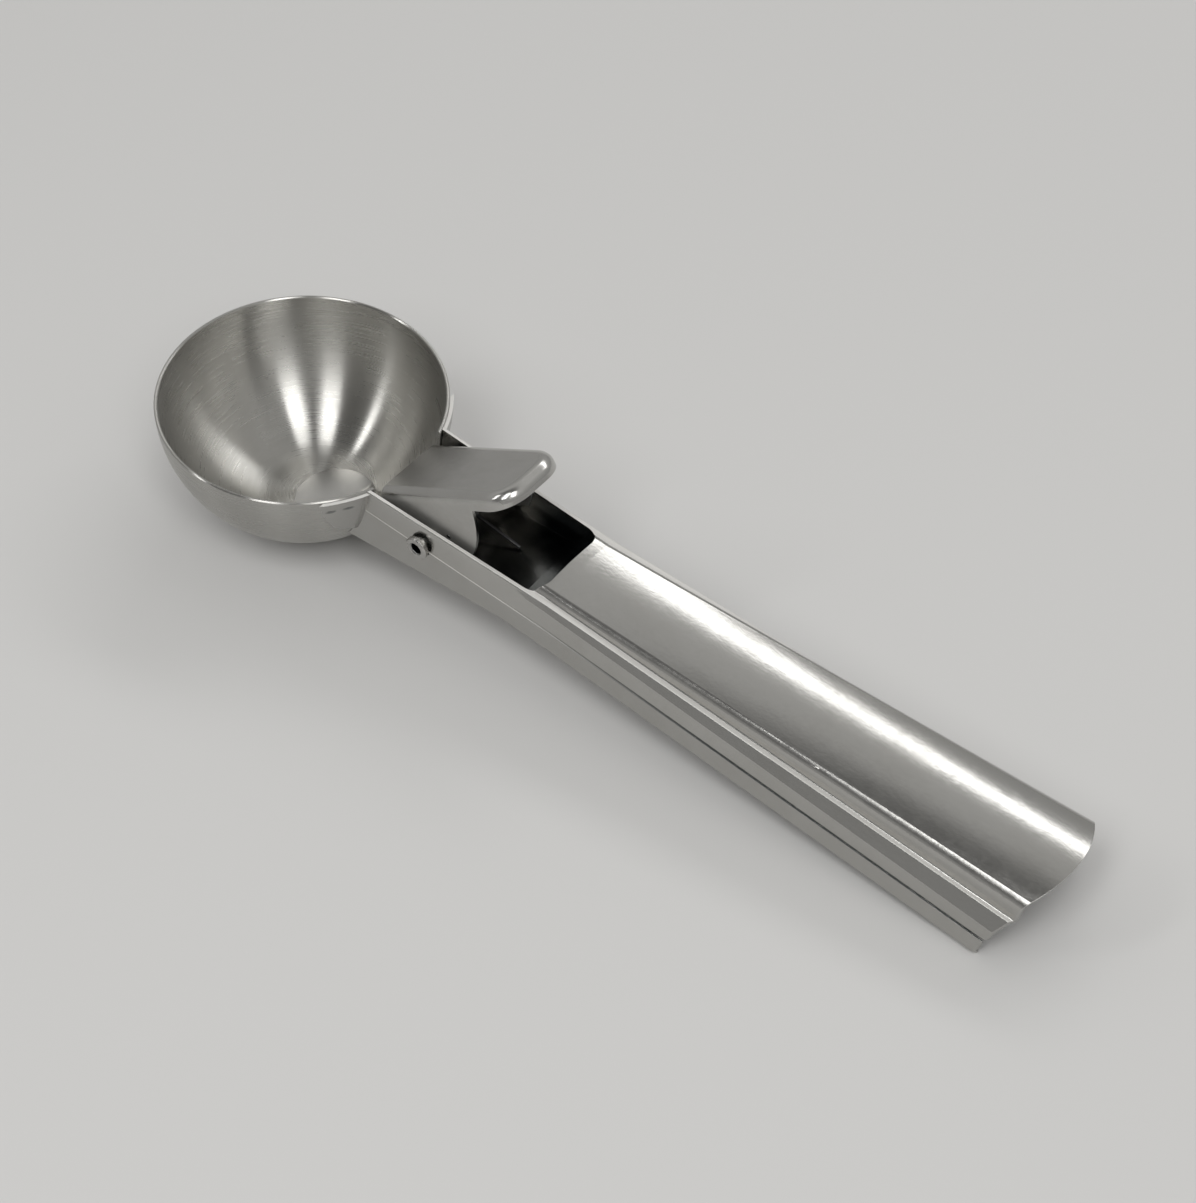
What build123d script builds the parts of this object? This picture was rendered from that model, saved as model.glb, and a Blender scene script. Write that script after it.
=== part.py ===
# Ice cream scoop: a steel bowl on a hollow handle, with a thumb lever that swings an ejector out of the bowl.
# X runs along the scoop with the bowl at minus X, Z is up, and the scoop lies on a table at Z = 0:
# it rests on the flat of the bowl and on the lower edge of the handle's end.
# Lengths are in millimetres. Places along the scoop are counted from the bowl's axis.
import math
import os

from build123d import *

# Sheet, clearances and the overrun of cuts
sheet = 0.65
weld_gap = 0.05
run_fit = 0.05
seat_gap = 0.06
overrun = 5.0

# Bowl
bowl_radius = 27.0
bowl_flat_radius = 10.4
bowl_lean = 4.0
rim_edge = 0.2
bowl_floor_round = 8.0
notch_half = 9.0
notch_depth = 6.5
notch_corner = 2.0

# Handle: where its form starts inside the bowl, and lengths behind the bowl's rim line
front_share = 0.56
trough_length = 28.0
step_run = 10.0
handle_length = 138.3

# Handle: the fall of the trough's walls, their depth down to the floor, and the height of the ridge at the end
wall_fall_share = 0.116
ridge_end_height = 8.2
depth_front = 14.24
depth_trough = 9.52
depth_step = 9.26

# Handle: half widths and forms of the section, at the front, where the step starts and at the end
ridge_half_front = 10.7
ridge_half_trough = 9.82
ridge_half_step = 9.6
ridge_half_end = 12.2
crown_trough = 1.6
crown_end = 6.8
ledge_trough = 1.25
ledge_end = 0.8
ledge_dip = 0.12
step_out_start = 0.7
step_out_end = 1.9
step_drop_start = 1.0
step_drop_end = 2.6
belly_out_front = 0.4
belly_out_trough = 1.48
belly_out_step = 1.75
belly_out_end = 2.7
belly_drop_front = 4.4
belly_drop_end = 5.2
floor_out_front = 0.7
floor_out_trough = 0.2
floor_out_step = 0.45
floor_out_end = 0.9
shoulder_round_trough = 1.4
shoulder_round_end = 2.4
valley_round_trough = 0.3
valley_round_end = 0.4
ridge_round = 0.3
seam_out_front = 0.08
seam_out_trough = 0.26
seam_rise = 0.05
floor_edge = 0.9
shoulder_half_shares = (0.8, 0.8, 0.8, 0.92)
shoulder_rise_shares = (0.7, 0.7, 0.7, 0.6)
step_fade_shares = (0.13, 0.48, 1.0)

# Handle's end: rounded in plan, leaning, with the floor cut back between two feet
butt_radius = 22.0
butt_lean_share = 0.2
butt_gap_half = 14.4
butt_gap_length = 9.0
butt_gap_corner = 4.0

# Thumb window
window_length = 35.8
window_corner = 3.6

# Wings on the bowl
wing_reach = 20.7
wing_lean = 1.2
wing_top = 0.3
wing_drop = 10.3
wing_corner = 4.0

# Pivot rivet
pivot_setback = 10.2
pivot_drop = 4.2
rivet_radius = 1.6
rivet_bore_radius = 1.1
rivet_head_radius = 2.3
rivet_head = 0.9
rivet_edge = 0.25

# Thumb lever, in the plane of its pad
lever_half = 8.1
lever_inset = 1.77
lever_sink = 1.34
lever_rise = 27.6
lever_length = 33.6
lever_bend = 2.1
pad_corner = 5.8
pad_lip = 2.9
front_lip = 1.5
flange_back = 23.7
flange_mid_back = 21.5
flange_mid_drop = 8.6
flange_low_back = 17.9
flange_low_drop = 12.7
ear_radius = 4.2

# Ejector
disc_radius = 7.7
disc_setback = 5.2
disc_lift = 0.5
strip_half = 5.0
strip_gap = 0.6
strip_weld = 9.0
toe_bend = 5.0
neck_bend = 1.5
neck_inset = 0.4
neck_corner = 2.0

# Return spring
wire_radius = 0.35
wire_sides = 8
coil_radius = 2.4
coil_pitch = 1.25
coil_turns = 4
hook_reach = 4.5
hook_bend = 1.2
hook_fit = 0.15
leg_dip = 20.0

# Places that follow from the sizes
end_x = bowl_radius + handle_length
bowl_x = (bowl_radius - end_x) / 2
bowl_inner = bowl_radius - sheet
bowl_height = math.sqrt(bowl_inner**2 - bowl_flat_radius**2) + sheet
lean_cos = math.cos(math.radians(bowl_lean))
lean_sin = math.sin(math.radians(bowl_lean))
rim_back_height = bowl_height - bowl_radius * lean_sin
front_x = bowl_radius * front_share
trough_x = bowl_radius + trough_length
step_x = trough_x + step_run
window_x = bowl_radius + window_length
pivot_x = bowl_radius + pivot_setback
pivot_z = rim_back_height - pivot_setback * wall_fall_share - pivot_drop

bowl_centre = (bowl_x, 0, bowl_height)
rim_plane = Plane(origin=bowl_centre, x_dir=(lean_cos, 0, -lean_sin), z_dir=(lean_sin, 0, lean_cos))
rim_side = Plane(origin=bowl_centre, x_dir=(lean_cos, 0, -lean_sin), z_dir=(0, -1, 0))
side = Plane(origin=(bowl_x, 0, 0), x_dir=(1, 0, 0), z_dir=(0, -1, 0))
pivot_side = Plane(origin=(bowl_x + pivot_x, 0, pivot_z), x_dir=(1, 0, 0), z_dir=(0, -1, 0))


def wall_top(x):
    """Height of the trough's wall at a place along the scoop."""
    return rim_back_height - (x - bowl_radius) * wall_fall_share


def between(low, high, share):
    """A value part of the way from one value to another."""
    return low + (high - low) * share


# Handle sections, from the bowl to the end: each entry is one station
floor_front = wall_top(front_x) - depth_front
floor_trough = wall_top(trough_x) - depth_trough
floor_step = wall_top(step_x) - depth_step
stations = (front_x, trough_x, step_x, end_x)
ridge_heights = (wall_top(front_x), wall_top(trough_x), wall_top(step_x), ridge_end_height)
ridge_halves = (ridge_half_front, ridge_half_trough, ridge_half_step, ridge_half_end)
crowns = (crown_trough, crown_trough, crown_trough, crown_end)
ledges = (ledge_trough, ledge_trough, ledge_trough, ledge_end)
step_outs = tuple(step_out_start * share for share in step_fade_shares) + (step_out_end,)
step_drops = (step_drop_start, step_drop_start, step_drop_start, step_drop_end)
belly_outs = (belly_out_front, belly_out_trough, belly_out_step, belly_out_end)
belly_drops = (belly_drop_front, belly_drop_front, belly_drop_front, belly_drop_end)
seam_outs = (seam_out_front, seam_out_trough, seam_out_trough, seam_out_trough)
floor_outs = (floor_out_front, floor_out_trough, floor_out_step, floor_out_end)
shoulder_rounds = (shoulder_round_trough, shoulder_round_trough, shoulder_round_trough, shoulder_round_end)
valley_rounds = (valley_round_trough, valley_round_trough, valley_round_trough, valley_round_end)
butt_x = end_x - butt_radius - butt_lean_share * (ridge_end_height + crown_end)
foot_x = butt_x + math.sqrt(butt_radius**2 - butt_gap_half**2)
floor_end = -floor_step * (end_x - foot_x) / (foot_x - step_x)
floors = (floor_front, floor_trough, floor_step, floor_end)


def outline(place):
    """Outer corners of a handle section on its right side, from the shoulder down to the floor."""
    ridge = ridge_halves[place]
    height = ridge_heights[place]
    belly = ridge + belly_outs[place]
    return [
        (ridge * shoulder_half_shares[place], height + crowns[place] * shoulder_rise_shares[place]),
        (ridge - ledges[place], height - ledge_dip),
        (ridge, height),
        (ridge + step_outs[place], height - step_drops[place]),
        (belly - seam_outs[place], height - belly_drops[place] - seam_rise),
        (belly, height - belly_drops[place]),
        (belly + floor_outs[place], floors[place]),
    ]


def crossing(first, second):
    """Point where two lines cross, each given by a point and a direction."""
    (ax, az), (au, aw) = first
    (bx, bz), (bu, bw) = second
    turn = au * bw - aw * bu
    run = ((bx - ax) * bw - (bz - az) * bu) / turn
    return (ax + au * run, az + aw * run)


def inset(points, crown, depth):
    """The same section moved inwards by the sheet: its corners and its crown."""
    lines = []
    for (ax, az), (bx, bz) in zip(points, points[1:]):
        size = math.hypot(bx - ax, bz - az)
        along = ((bx - ax) / size, (bz - az) / size)
        lines.append(((ax + along[1] * depth, az - along[0] * depth), along))
    top_half, top_z = points[0]
    rise = crown - top_z
    radius = (top_half**2 + rise**2) / (2 * rise)
    slope = math.asin(top_half / radius)
    start = (top_half - math.sin(slope) * depth, top_z - math.cos(slope) * depth)
    inner = [crossing((start, (math.cos(slope), -math.sin(slope))), lines[0])]
    for first, second in zip(lines, lines[1:]):
        inner.append(crossing(first, second))
    floor_z = points[-1][1] + depth
    inner.append(crossing(lines[-1], ((0, floor_z), (1, 0))))
    return inner, crown - depth


def nearest(sketch_vertices, point):
    """The pair of sketch corners, left and right, that lie at a point of the right side."""
    return sorted(sketch_vertices, key=lambda v: math.hypot(abs(v.X) - point[0], v.Y - point[1]))[:2]


# Bowl: its hollow and its outside are turned about the rim's axis, with the rim's edges broken, and cut level below
rim_axis = Axis(bowl_centre, (lean_sin, 0, lean_cos))

with BuildPart() as bowl_hollow:
    with BuildSketch(rim_side):
        with BuildLine():
            inner_end = (math.sqrt(bowl_inner**2 - rim_edge**2), -rim_edge)
            RadiusArc((0, -bowl_inner), inner_end, -bowl_inner)
            Polyline(inner_end, (bowl_inner + rim_edge, 0), (bowl_inner + rim_edge, overrun), (0, overrun), (0, -bowl_inner))
        make_face()
    revolve(axis=rim_axis)
    split(bisect_by=Plane.XY.offset(sheet), keep=Keep.TOP)
    fillet(faces().sort_by(Axis.Z)[0].edges(), bowl_floor_round)

with BuildPart() as bowl:
    with BuildSketch(rim_side):
        with BuildLine():
            outer_end = (math.sqrt(bowl_radius**2 - rim_edge**2), -rim_edge)
            RadiusArc((0, -bowl_radius), outer_end, -bowl_radius)
            Polyline(outer_end, (bowl_radius - rim_edge, 0), (0, 0), (0, -bowl_radius))
        make_face()
    revolve(axis=rim_axis)
    split(bisect_by=Plane.XY, keep=Keep.TOP)
    fillet(faces().sort_by(Axis.Z)[0].edges(), bowl_floor_round + sheet)
    add(bowl_hollow.part, mode=Mode.SUBTRACT)
    with BuildSketch(Plane(origin=bowl_centre, x_dir=(0, 1, 0), z_dir=(lean_cos, 0, -lean_sin))):
        Rectangle(2 * notch_half, 2 * notch_depth)
        fillet(vertices().group_by(Axis.Y)[0], notch_corner)
    extrude(amount=bowl_radius + overrun, mode=Mode.SUBTRACT)

with BuildPart() as wings:
    with BuildSketch(rim_side):
        with BuildLine():
            Polyline(
                (bowl_radius + overrun, -wing_top),
                (wing_reach, -wing_top),
                (wing_reach + wing_lean, -wing_drop),
                (bowl_radius + overrun, -wing_drop),
                close=True,
            )
        make_face()
        fillet(vertices().sort_by(Axis.X)[1], wing_corner)
    extrude(amount=bowl_radius + overrun, both=True)
    with Locations(bowl_centre):
        Sphere(bowl_radius + weld_gap + sheet, mode=Mode.INTERSECT)
        Sphere(bowl_radius + weld_gap, mode=Mode.SUBTRACT)

with BuildPart() as handle:
    for place, x in enumerate(stations):
        corners = outline(place)
        crown = ridge_heights[place] + crowns[place]
        with BuildSketch(Plane.YZ.offset(bowl_x + x)):
            with BuildLine():
                left = [(-u, z) for u, z in reversed(corners)]
                ThreePointArc(left[-1], (0, crown), corners[0])
                Polyline(*corners, *left)
            make_face()
            fillet(nearest(vertices(), corners[0]), shoulder_rounds[place])
            fillet(nearest(vertices(), corners[1]), valley_rounds[place])
            fillet(nearest(vertices(), corners[2]), ridge_round)
            chamfer(nearest(vertices(), corners[6]), floor_edge)
    loft(ruled=True)
    add(wings.part)
    for place, x in enumerate(stations):
        corners, crown = inset(outline(place), ridge_heights[place] + crowns[place], sheet)
        with BuildSketch(Plane.YZ.offset(bowl_x + x)):
            with BuildLine():
                left = [(-u, z) for u, z in reversed(corners)]
                ThreePointArc(left[-1], (0, crown), corners[0])
                Polyline(*corners, *left)
            make_face()
    loft(ruled=True, mode=Mode.SUBTRACT)
    with BuildSketch(Plane.XY.offset(pivot_z)):
        with BuildLine():
            Polyline(
                (bowl_x + front_x, -ridge_half_front + sheet),
                (bowl_x + window_x, -ridge_half_step + sheet),
                (bowl_x + window_x, ridge_half_step - sheet),
                (bowl_x + front_x, ridge_half_front - sheet),
                close=True,
            )
        make_face()
        fillet(vertices().group_by(Axis.X)[-1], window_corner)
    extrude(amount=bowl_radius, mode=Mode.SUBTRACT)
    with Locations(bowl_centre):
        Sphere(bowl_radius + weld_gap, mode=Mode.SUBTRACT)
    with BuildSketch(pivot_side):
        Circle(rivet_radius + weld_gap)
    extrude(amount=bowl_radius, both=True, mode=Mode.SUBTRACT)
    with BuildSketch(Plane.XY.offset(-overrun)):
        with Locations((bowl_x + butt_x - butt_lean_share * overrun + butt_radius, 0)):
            Rectangle(2 * butt_radius, 2 * butt_radius)
        with Locations((bowl_x + butt_x - butt_lean_share * overrun, 0)):
            Circle(butt_radius, mode=Mode.SUBTRACT)
    extrude(amount=2 * butt_radius, dir=(butt_lean_share, 0, 1), mode=Mode.SUBTRACT)
    with BuildSketch(Plane.XY.offset(-overrun)):
        with Locations((bowl_x + foot_x - butt_gap_length + butt_radius, 0)):
            Rectangle(2 * butt_radius, 2 * butt_gap_half)
        fillet(vertices().group_by(Axis.X)[0], butt_gap_corner)
    extrude(amount=overrun + ridge_end_height / 2, mode=Mode.SUBTRACT)

# Thumb lever, drawn in the plane of its pad: along is up the pad, out is square to it
rise_cos = math.cos(math.radians(lever_rise))
rise_sin = math.sin(math.radians(lever_rise))
lever_x = bowl_radius - lever_inset
lever_z = rim_back_height - lever_sink
lever_side = Plane(origin=(bowl_x + lever_x, 0, lever_z), x_dir=(rise_cos, 0, rise_sin), z_dir=(0, -1, 0))
pivot_along = (pivot_x - lever_x) * rise_cos + (pivot_z - lever_z) * rise_sin
pivot_out = (pivot_z - lever_z) * rise_cos - (pivot_x - lever_x) * rise_sin
lever_pad = Plane(origin=lever_side.origin, x_dir=lever_side.x_dir, z_dir=lever_side.y_dir)
pad_along = Axis(lever_side.origin, lever_side.x_dir)
pad_out = Axis(lever_side.origin, lever_side.y_dir)


def touching(centre, radius, point, turn):
    """Place on a circle where the line to an outer point touches it; turn chooses the side."""
    along = point[0] - centre[0]
    out = point[1] - centre[1]
    angle = math.atan2(out, along) + turn * math.acos(radius / math.hypot(along, out))
    return (centre[0] + radius * math.cos(angle), centre[1] + radius * math.sin(angle))


ear_centre = (pivot_along, pivot_out)
flange_low = (flange_low_back, -flange_low_drop)
flange_front = (0, -front_lip)

# The spring's hook lies behind the pivot, level with the top of the coil
coil_pitch_rise = coil_pitch / (2 * math.pi)
coil_slope = math.hypot(coil_radius, coil_pitch_rise)
lead_cos = coil_radius / coil_slope
lead_sin = coil_pitch_rise / coil_slope
hook_x = pivot_x + (hook_reach - hook_bend) * lead_cos + hook_bend * (1 - lead_sin)
hook_z = pivot_z + coil_radius

# The lever's inside, bent like its outside
with BuildPart() as lever_inside:
    with BuildSketch(lever_pad.offset(-sheet)):
        inner_length = lever_length - sheet + overrun
        with Locations((inner_length / 2 - overrun, 0)):
            Rectangle(inner_length, 2 * (lever_half - sheet))
        fillet(vertices().group_by(Axis.X)[-1], pad_corner - sheet)
    extrude(amount=-lever_length)
    inside_edges = faces().sort_by(pad_out)[-1].edges().sort_by(pad_along)
    fillet(inside_edges[1:], lever_bend - sheet)

with BuildPart() as thumb_lever:
    with BuildSketch(lever_side):
        with BuildLine():
            Line((0, 0), (lever_length, 0))
            Line((lever_length, 0), (lever_length, -pad_lip))
            Line((lever_length, -pad_lip), (flange_back, -pad_lip))
            ThreePointArc((flange_back, -pad_lip), (flange_mid_back, -flange_mid_drop), flange_low)
            ear_low = touching(ear_centre, ear_radius, flange_low, -1)
            ear_front = touching(ear_centre, ear_radius, flange_front, 1)
            Line(flange_low, ear_low)
            Line(ear_low, ear_front)
            Line(ear_front, flange_front)
            Line(flange_front, (0, 0))
        make_face()
        with Locations(ear_centre):
            Circle(ear_radius)
    extrude(amount=lever_half, both=True)
    fillet(edges().filter_by(pad_out).group_by(pad_along)[-1], pad_corner)
    pad_edges = faces().sort_by(pad_out)[-1].edges().sort_by(pad_along)
    fillet(pad_edges[1:], lever_bend)
    add(lever_inside.part, mode=Mode.SUBTRACT)
    with BuildSketch(pivot_side):
        Circle(rivet_radius + run_fit)
    extrude(amount=bowl_radius, both=True, mode=Mode.SUBTRACT)
    with BuildSketch(side):
        with Locations((hook_x, hook_z)):
            Circle(wire_radius + hook_fit)
    extrude(amount=bowl_radius, mode=Mode.SUBTRACT)

# Ejector, drawn in side view: a flat toe in the bowl, a strip up the bowl's wall, and a weld under the pad
strip_back = math.sqrt(bowl_inner**2 - strip_half**2) - strip_gap
strip_front = strip_back - sheet
toe_z = sheet + disc_lift
toe_x = disc_setback - disc_radius
centre_side = (0, bowl_height)


def pad_point(along, out):
    """A place in the pad's plane, given in the scoop's side view."""
    return (lever_x + along * rise_cos - out * rise_sin, lever_z + along * rise_sin + out * rise_cos)


def strip_face(radius, toe, weld):
    """One face of the strip: toe end, toe bend, touching place on the bowl's curve, neck and weld end."""
    foot = (math.sqrt(radius**2 - (bowl_height - toe) ** 2), toe)
    neck = pad_point(neck_inset, -weld)
    leave = touching(centre_side, radius, neck, -1)
    return (toe_x - overrun, toe), foot, leave, neck, pad_point(neck_inset + strip_weld, -weld)


with BuildPart() as ejector:
    with BuildSketch(side):
        with BuildLine():
            front = strip_face(strip_front, toe_z + sheet, sheet + weld_gap)
            leave_angle = math.atan2(front[2][1] - bowl_height, front[2][0])
            back_leave = (strip_back * math.cos(leave_angle), bowl_height + strip_back * math.sin(leave_angle))
            line_out = (front[3][0] - front[2][0], front[3][1] - front[2][1])
            back_end = pad_point(neck_inset + strip_weld, -2 * sheet - weld_gap)
            back_neck = crossing((back_leave, line_out), (back_end, (rise_cos, rise_sin)))
            back_foot = (math.sqrt(strip_back**2 - (bowl_height - toe_z) ** 2), toe_z)
            Line(front[0], front[1])
            RadiusArc(front[1], front[2], -strip_front)
            Line(front[2], front[3])
            Line(front[3], front[4])
            Line(front[4], back_end)
            Line(back_end, back_neck)
            Line(back_neck, back_leave)
            RadiusArc(back_leave, back_foot, strip_back)
            Line(back_foot, (front[0][0], toe_z))
            Line((front[0][0], toe_z), front[0])
        make_face()
        toe_corners = [v for v in vertices() if math.hypot(v.X - front[1][0], v.Y - front[1][1]) < weld_gap]
        fillet(toe_corners, toe_bend)
        heel_corners = [v for v in vertices() if math.hypot(v.X - back_foot[0], v.Y - back_foot[1]) < weld_gap]
        fillet(heel_corners, toe_bend + sheet)
        neck_corners = [v for v in vertices() if math.hypot(v.X - front[3][0], v.Y - front[3][1]) < weld_gap]
        fillet(neck_corners, neck_bend + sheet)
        nape_corners = [v for v in vertices() if math.hypot(v.X - back_neck[0], v.Y - back_neck[1]) < weld_gap]
        fillet(nape_corners, neck_bend)
    extrude(amount=disc_radius, both=True)
    with BuildSketch(Plane.XY):
        with Locations((bowl_x + disc_setback, 0)):
            Circle(disc_radius)
        with Locations((bowl_x + disc_setback + lever_length, 0)):
            Rectangle(2 * lever_length, 2 * strip_half)
        waist = vertices().sort_by(Axis.X)
        fillet(waist[0:2], neck_corner)
    extrude(amount=bowl_height + lever_length, mode=Mode.INTERSECT)

# Pivot rivet: a hollow rivet across the trough, rolled over at both ends
pivot_share = (pivot_x - front_x) / (trough_x - front_x)
belly_half = between(outline(0)[5][0], outline(1)[5][0], pivot_share)
belly_z = between(outline(0)[5][1], outline(1)[5][1], pivot_share)
floor_half = between(outline(0)[6][0], outline(1)[6][0], pivot_share)
floor_z = between(floor_front, floor_trough, pivot_share)
wall_flare = (floor_half - belly_half) / (belly_z - floor_z)
rivet_half = belly_half + wall_flare * rivet_head_radius + seat_gap

with BuildPart() as pivot_rivet:
    with BuildSketch(Plane(origin=(bowl_x + pivot_x, 0, pivot_z), x_dir=(1, 0, 0), z_dir=(0, 0, 1))):
        with BuildLine():
            Polyline(
                (rivet_bore_radius, -rivet_half - rivet_head),
                (rivet_head_radius, -rivet_half - rivet_head),
                (rivet_head_radius, -rivet_half),
                (rivet_radius, -rivet_half),
                (rivet_radius, rivet_half),
                (rivet_head_radius, rivet_half),
                (rivet_head_radius, rivet_half + rivet_head),
                (rivet_bore_radius, rivet_half + rivet_head),
                close=True,
            )
        make_face()
        chamfer(vertices().group_by(Axis.Y)[0], rivet_edge)
        chamfer(vertices().group_by(Axis.Y)[-1], rivet_edge)
    revolve(axis=Axis((bowl_x + pivot_x, 0, pivot_z), (0, 1, 0)))

# Return spring: a torsion spring on the rivet, one leg hooked in the lever and one on the trough's floor
coil_start = math.radians(90)
coil_end = math.radians(270 - leg_dip + 360 * coil_turns)
coil_half = coil_pitch_rise * (coil_end - coil_start) / 2


def coil_point(angle):
    """Place of the wire's middle at an angle round the coil."""
    return Vector(
        bowl_x + pivot_x + coil_radius * math.cos(angle),
        coil_pitch_rise * (angle - coil_start) - coil_half,
        pivot_z + coil_radius * math.sin(angle),
    )


def coil_way(angle):
    """Direction of the wire at an angle round the coil."""
    return Vector(-lead_cos * math.sin(angle), lead_sin, lead_cos * math.cos(angle))


def joint_of(first, first_way, last, last_way):
    """Place where the two arcs between two points of the coil meet."""
    reach = last - first
    both = first_way + last_way
    open_share = 2 * (1 - first_way.dot(last_way))
    along = reach.dot(both)
    arm = (math.sqrt(along**2 + open_share * reach.dot(reach)) - along) / open_share
    return (first + last + (first_way - last_way) * arm) * 0.5


leg_x = pivot_x - coil_radius * math.sin(math.radians(leg_dip))
leg_z = pivot_z - coil_radius * math.cos(math.radians(leg_dip))
trough_floor = max(floor_front, floor_trough) + sheet
leg_length = (leg_z - trough_floor - wire_radius - seat_gap) / (lead_cos * math.sin(math.radians(leg_dip)))
half_count = math.ceil((coil_end - coil_start) / math.radians(180))
coil_angles = [between(coil_start, coil_end, place / half_count) for place in range(half_count + 1)]

with BuildPart() as return_spring:
    with BuildLine() as wire_path:
        lead_end = coil_point(coil_start) - coil_way(coil_start) * (hook_reach - hook_bend)
        hook_turn = Vector(bowl_x + hook_x, lead_end.Y - hook_bend * lead_cos, hook_z)
        hook_tip = Vector(bowl_x + hook_x, -lever_half, hook_z)
        Line(hook_tip, hook_turn)
        TangentArc(hook_turn, lead_end, tangent=(0, 1, 0))
        Line(lead_end, coil_point(coil_start))
        for first_angle, last_angle in zip(coil_angles, coil_angles[1:]):
            first = coil_point(first_angle)
            last = coil_point(last_angle)
            middle = joint_of(first, coil_way(first_angle), last, coil_way(last_angle))
            chord = (middle - first).normalized()
            middle_way = chord * (2 * chord.dot(coil_way(first_angle))) - coil_way(first_angle)
            TangentArc(first, middle, tangent=coil_way(first_angle))
            TangentArc(middle, last, tangent=middle_way)
        Line(coil_point(coil_end), coil_point(coil_end) + coil_way(coil_end) * leg_length)
    with BuildSketch(Plane(origin=hook_tip, x_dir=(1, 0, 0), z_dir=(0, 1, 0))):
        RegularPolygon(wire_radius, wire_sides)
    sweep(path=wire_path.wires()[0])

# The least gap between turns of the spring, measured on points of the wire's middle
probe_count = 600
probes = [wire_path.wires()[0].position_at(place / probe_count) for place in range(probe_count + 1)]
wire_length = wire_path.wires()[0].length
apart = math.ceil(probe_count * math.pi * coil_radius / wire_length)
least = min(
    (probes[far] - probes[near]).length
    for near in range(probe_count + 1)
    for far in range(near + apart, probe_count + 1)
)
print("least gap between turns of the spring", round(least - 2 * wire_radius, 3))

os.makedirs("parts", exist_ok=True)
bowl.part.label = "bowl"
handle.part.label = "handle"
thumb_lever.part.label = "thumb_lever"
ejector.part.label = "ejector"
pivot_rivet.part.label = "pivot_rivet"
return_spring.part.label = "return_spring"
export_step(bowl.part, "parts/bowl.step")
export_step(handle.part, "parts/handle.step")
export_step(thumb_lever.part, "parts/thumb_lever.step")
export_step(ejector.part, "parts/ejector.step")
export_step(pivot_rivet.part, "parts/pivot_rivet.step")
export_step(return_spring.part, "parts/return_spring.step")
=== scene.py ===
"""Looks of a steel ice cream scoop: brushed bowl, grained handle, satin thumb lever, rolled rivet and dark spring wire.

Every length is in metres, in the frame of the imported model: X along the scoop, Z up from the table.
"""

import logging
import math
from dataclasses import dataclass
from enum import Enum

import bpy
from mathutils import Matrix, Vector


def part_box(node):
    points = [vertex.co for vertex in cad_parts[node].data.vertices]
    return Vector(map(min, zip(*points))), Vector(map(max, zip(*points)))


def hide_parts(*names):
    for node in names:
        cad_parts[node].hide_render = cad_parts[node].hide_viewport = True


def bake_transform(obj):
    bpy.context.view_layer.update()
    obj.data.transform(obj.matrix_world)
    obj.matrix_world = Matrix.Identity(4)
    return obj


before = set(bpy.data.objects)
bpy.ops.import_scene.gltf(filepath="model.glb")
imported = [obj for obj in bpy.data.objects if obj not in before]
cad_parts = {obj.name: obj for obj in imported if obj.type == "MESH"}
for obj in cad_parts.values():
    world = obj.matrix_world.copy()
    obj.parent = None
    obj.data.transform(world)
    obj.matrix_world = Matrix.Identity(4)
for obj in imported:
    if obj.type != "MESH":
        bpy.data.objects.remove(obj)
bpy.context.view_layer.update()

MM = 0.001
LOG = logging.getLogger("scoop")

Colour = tuple[float, float, float, float]
Pair = tuple[float, float]
Triple = tuple[float, float, float]
Socket = bpy.types.NodeSocket


class Brushing(Enum):
    """Which way the fine lines of a brushed surface run."""

    ALONG = "along the scoop"
    AROUND = "round the bowl's axis"
    ACROSS = "across the scoop"


@dataclass(frozen=True)
class SteelFinish:
    """One finish of sheet, rivet or wire steel.

    Attributes:
        slot: material slot of the record.
        colour: base colour of the clean metal.
        soiled: base colour where the metal is handled.
        roughness: mean roughness.
        roughness_swing: how much the brushed lines change the roughness.
        brushing: the way the lines run.
        line_spacing: mean distance between lines.
        line_length: mean length of a line.
        line_depth: height of the lines for the bump.
        patch_size: size of the cloudy patches left by polishing and fingers.
        anisotropy: how far lines round the bowl's axis draw the reflection out; other lines don't.
        painted_hollow_shade: how far shade is painted into the colour of hollow places, darkening them.
        hollow_line: height and fall of the line along X that the hollow lies round; none means that every
            sheltered place counts as a hollow.
        hollow_start: place along X behind which the hollow is dark.
        rubbed_and_highlit_ledge: half width at X zero and its growth along X, outside which ledges that face up are
            rubbed and painted with a highlight.
        ledge_floor: height at X zero and its fall along X, above which those ledges lie.
        matte_sides: roughness of the faces that look sideways, left as they were stamped; zero leaves them as the rest.
        weld_marks: middles of the small marks that spot welds leave, on the minus Y side; plus Y has them too.
    """

    slot: str
    colour: Colour
    soiled: Colour
    roughness: float
    roughness_swing: float
    brushing: Brushing
    line_spacing: float
    line_length: float
    line_depth: float
    patch_size: float
    anisotropy: float = 0.0
    # painted shade: how far the colour of hollow places is darkened
    painted_hollow_shade: float = 0.0
    hollow_line: Pair | None = None
    hollow_start: float = -1.0
    # ledges that face up get a light colour: rubbed wear and a painted highlight
    rubbed_and_highlit_ledge: Pair | None = None
    ledge_floor: Pair = (0.0, 0.0)
    matte_sides: float = 0.0
    weld_marks: tuple[Triple, ...] = ()


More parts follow.
